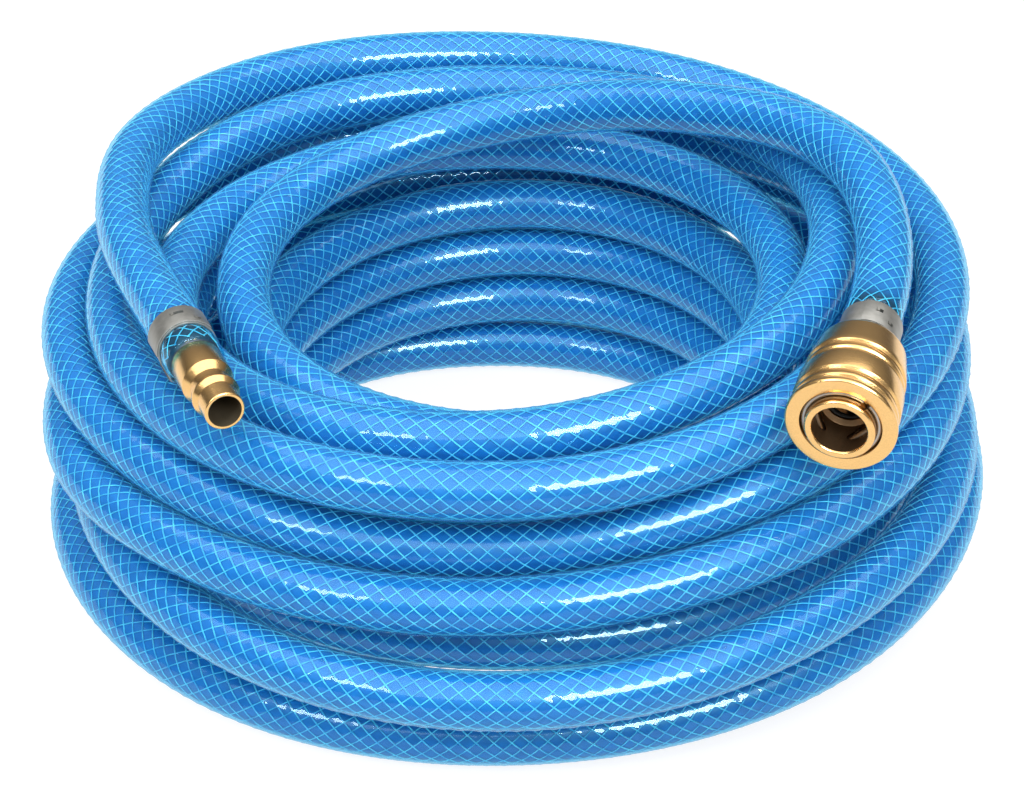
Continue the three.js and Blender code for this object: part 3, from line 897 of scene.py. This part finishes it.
def swept_strip(name, fitting, line, start, width, thickness, closed):
    """A flat strip of steel along a line across the fitting, with small rounds along its edges."""
    ahead, behind = (np.roll(line, k, 0) for k in (-1, 1))
    if not closed:
        ahead[-1], behind[0] = line[-1], line[0]
    along = unit(ahead - behind)
    outward = np.stack([along[:, 1], -along[:, 0]], -1)
    half, edge = thickness / 2, width / 2
    section = softened([(-half, -edge), (half, -edge), (half, edge), (-half, edge)], STRIP_ROUND)
    rows = line[:, None] + outward[:, None] * section[None, :, :1]
    depth = start + edge + np.broadcast_to(section[None, :, 1], rows.shape[:2])
    points = on_fitting(fitting, rows[..., 0], rows[..., 1], depth)
    count = len(section)
    faces = grid_faces(len(line), count, close_rows=closed).tolist()
    if not closed:
        last = (len(line) - 1) * count
        faces += [list(range(count))[::-1], list(range(last, last + count))]
    piece = make_object(name, points, faces, CLAMP_STEEL)
    piece.data.set_sharp_from_angle(angle=math.radians(35))
    return piece


def arc_line(radius, first, last, points):
    angle = np.radians(np.linspace(first, last, points))
    return np.stack([radius * np.cos(angle), radius * np.sin(angle)], -1)


CLAMP_RADIUS, STRIP = 7.05, 0.6
EAR_HALF, EAR_HALF_TOP, EAR_HEIGHT = 2.85, 1.9, 2.0
LAP_STRIP, LAP_GAP, LAP_INSET = 0.42, 0.2, 0.15
WINDOW_WIDTH = 1.2
HOOK_WIDTH, HOOK_HEIGHT = 0.8, 0.8
HOOK_FROM_WINDOW_END = 0.8, 0.1  # its two ends


def make_clamp(name, node, fitting, start, lap_from, lap_to, hooks):
    """A steel strip round the hose, with its pinched ear below and its outer end lapped over its inner one.

    Each hook is (angle, place across the strip from 0 to 1, length), and all angles are in degrees.
    """
    width = CLAMP_WIDTH / MM
    radius = CLAMP_RADIUS + STRIP / 2
    shoulder = math.degrees(math.asin(EAR_HALF / radius))
    band = arc_line(radius, -90 + shoulder, 270 - shoulder, points=90)
    top = -(radius + EAR_HEIGHT)
    # one side of the ear, from its foot to its top, with a pinched waist
    side = np.array([
        (EAR_HALF - 0.5, -radius - 0.6), (EAR_HALF_TOP, -radius - 1.5), (EAR_HALF_TOP + 0.3, top + 0.5),
        (EAR_HALF_TOP - 0.4, top),
    ])
    line = np.concatenate([band, side * (-1, 1), side[::-1]])
    strip = swept_strip(name, fitting, line, start, width, STRIP, closed=True)
    lap_radius = radius + STRIP / 2 + LAP_GAP
    lap_line = arc_line(lap_radius, lap_from, lap_to, points=60)
    lap = swept_strip(
        f"{name}_lap", fitting, lap_line, start + LAP_INSET, width - 2 * LAP_INSET, LAP_STRIP, closed=False
    )
    windows, hook_pieces = [], []
    for i, (angle, across, length) in enumerate(hooks, 1):
        depth = start + across * width
        turn = math.radians(angle)
        window = box_outline(lap_radius, depth, 3, WINDOW_WIDTH)
        windows.append(prism("window", fitting, window, -length / 2, length / 2, turn))
        section = box_outline(lap_radius, depth, HOOK_HEIGHT, HOOK_WIDTH)
        first, last = (length / 2 - inset for inset in HOOK_FROM_WINDOW_END)
        hook = prism(f"{name}_hook_{i}", fitting, section, first, last, turn)
        hook_pieces.append(finish_piece(hook, ROOT, "clamp_steel"))
    finish_piece(cut_away(strip, windows), ROOT, "clamp_steel", node)
    finish_piece(cut_away(lap, windows), ROOT, "clamp_steel")
    discard(windows)
    return [strip, lap, *hook_pieces]


plug_clamp = make_clamp(
    "plug_clamp_band", "plug_hose_clamp", PLUG, PLUG_CLAMP_START / MM,
    lap_from=58, lap_to=205, hooks=[(118, 0.6, 3.4), (84, 0.25, 2)],
)
coupler_clamp = make_clamp(
    "coupler_clamp_band", "coupler_hose_clamp", COUPLER, COUPLER_CLAMP_START / MM,
    lap_from=-20, lap_to=84, hooks=[(56, 0.6, 1.8), (30, 0.3, 1.6)],
)

# ---- studio, in metres ----
LIT_PLACE = Vector((0, 0, 0.05))


def make_floor():
    size = 6
    points = np.array([(-size, -size, 0), (size, -size, 0), (size, size, 0), (-size, size, 0)], float)
    material, nodes, links, base = new_material("pale_floor")
    base.inputs["Base Color"].default_value = (0.2, 0.2, 0.2, 1)
    base.inputs["Roughness"].default_value = 0.8
    base.inputs["Specular IOR Level"].default_value = 0.1
    base.inputs["Emission Color"].default_value = (1, 1, 1, 1)
    base.inputs["Emission Strength"].default_value = 0.85
    floor = make_object("floor", points, [(0, 1, 2, 3)], material, smooth=False)


def softbox(name, azimuth, elevation, distance, width, height, power):
    """A lamp aimed at the coil. Azimuth is in degrees from the camera's side (-Y) towards +X."""
    data = bpy.data.lights.new(name, "AREA")
    data.shape = "RECTANGLE"
    data.size = width
    data.size_y = height
    data.energy = power
    lamp = bpy.data.objects.new(name, data)
    bpy.context.scene.collection.objects.link(lamp)
    turn, lift = math.radians(azimuth), math.radians(elevation)
    away = Vector((math.sin(turn) * math.cos(lift), -math.cos(turn) * math.cos(lift), math.sin(lift)))
    lamp.location = LIT_PLACE + distance * away
    lamp.rotation_euler = away.to_track_quat("Z", "Y").to_euler()
    return lamp


def make_world():
    """White above and dim at the horizon, as inside a light tent with its front open."""
    world = bpy.data.worlds.new("studio")
    bpy.context.scene.world = world
    world.use_nodes = True
    nodes, links = world.node_tree.nodes, world.node_tree.links
    coordinates = nodes.new("ShaderNodeTexCoord")
    direction = nodes.new("ShaderNodeSeparateXYZ")
    links.new(coordinates.outputs["Generated"], direction.inputs["Vector"])
    sky = ramp(
        nodes, links, direction.outputs["Z"], (0.0, (0.12,) * 3), (0.3, (0.45,) * 3), (0.75, (1, 1, 1)),
    )
    links.new(sky, nodes["Background"].inputs["Color"])
    nodes["Background"].inputs["Strength"].default_value = 0.5


make_floor()
key_light = softbox("key_light", 24, 38, 1.6, 0.75, 0.5, 34)
key_light.visible_diffuse = False  # it only makes the highlights
softbox("left_light", -42, 38, 1.6, 0.35, 0.3, 6)
softbox("top_light", 0, 80, 2.2, 4, 4, 120)
fill_light = softbox("fill_light", 10, 35, 1.6, 1.4, 1.4, 13)
fill_light.visible_glossy = False  # it makes none
make_world()
